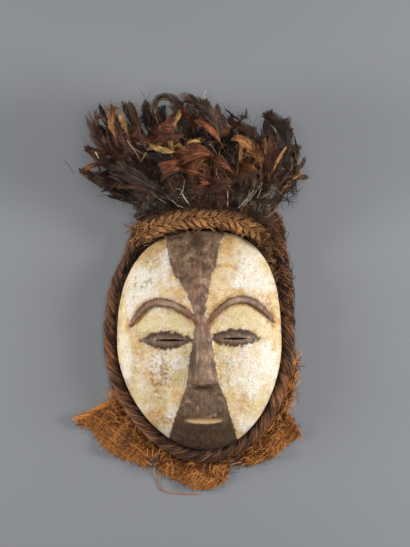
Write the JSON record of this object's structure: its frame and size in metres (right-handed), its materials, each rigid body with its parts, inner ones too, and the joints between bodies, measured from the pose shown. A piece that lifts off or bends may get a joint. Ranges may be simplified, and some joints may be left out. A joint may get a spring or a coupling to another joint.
{
  "type": "dance mask",
  "caption": "Hollow oval wooden face mask coated in white kaolin, with a fibre rope rim, a plait over the forehead, a feather crest and torn raffia edging.",
  "frame": {"origin": "on the floor, at the middle of the mask's footprint without the loose thread", "axes": "+Z out of the face, which looks up from the floor; +Y from the chin to the feather crest; +X to the viewer's right"},
  "size_m": [0.2846, 0.4968, 0.1078],
  "materials": {
    "kaolin_wood": "matt white kaolin over light wood, stained dark brown on the forehead, brows, eyes, nose and chin",
    "rope_fibre": "dark twisted plant fibre",
    "plait_fibre": "golden brown palm fibre",
    "feather": "dark brown, rust and buff feathers",
    "raffia_cloth": "orange-brown woven raffia"
  },
  "bodies": {
    "root": {"carved_face": "kaolin_wood", "rim_rope": "rope_fibre", "forehead_plait": "plait_fibre", "feather_strap": "plait_fibre", "fibre_wad": "rope_fibre", "raffia_cloth_left": "raffia_cloth", "raffia_cloth_bottom": "raffia_cloth", "raffia_cloth_right": "raffia_cloth", "raffia_cloth_side": "raffia_cloth", "feather_1_1": "feather", "feather_1_2": "feather", "feather_1_3": "feather", "feather_1_4": "feather", "feather_1_5": "feather", "feather_1_6": "feather", "feather_1_7": "feather", "feather_1_8": "feather", "feather_1_9": "feather", "feather_2_1": "feather", "feather_2_2": "feather", "feather_2_3": "feather", "feather_2_4": "feather", "feather_2_5": "feather", "feather_2_6": "feather", "feather_2_7": "feather", "feather_2_8": "feather", "feather_2_9": "feather", "feather_3_1": "feather", "feather_3_2": "feather", "feather_3_3": "feather", "feather_3_4": "feather", "feather_3_5": "feather", "feather_3_6": "feather", "feather_3_7": "feather", "feather_3_8": "feather", "feather_4_1": "feather", "feather_4_2": "feather", "feather_4_3": "feather", "feather_4_4": "feather", "feather_4_5": "feather", "feather_4_6": "feather", "feather_4_7": "feather", "feather_4_8": "feather", "feather_5_1": "feather", "feather_5_2": "feather", "feather_5_3": "feather", "feather_5_4": "feather", "feather_5_5": "feather", "feather_5_6": "feather", "feather_6_1": "feather", "feather_6_2": "feather", "feather_6_3": "feather", "feather_6_4": "feather", "feather_6_5": "feather", "feather_6_6": "feather", "loose_thread": "raffia_cloth"}
  },
  "joints": []
}
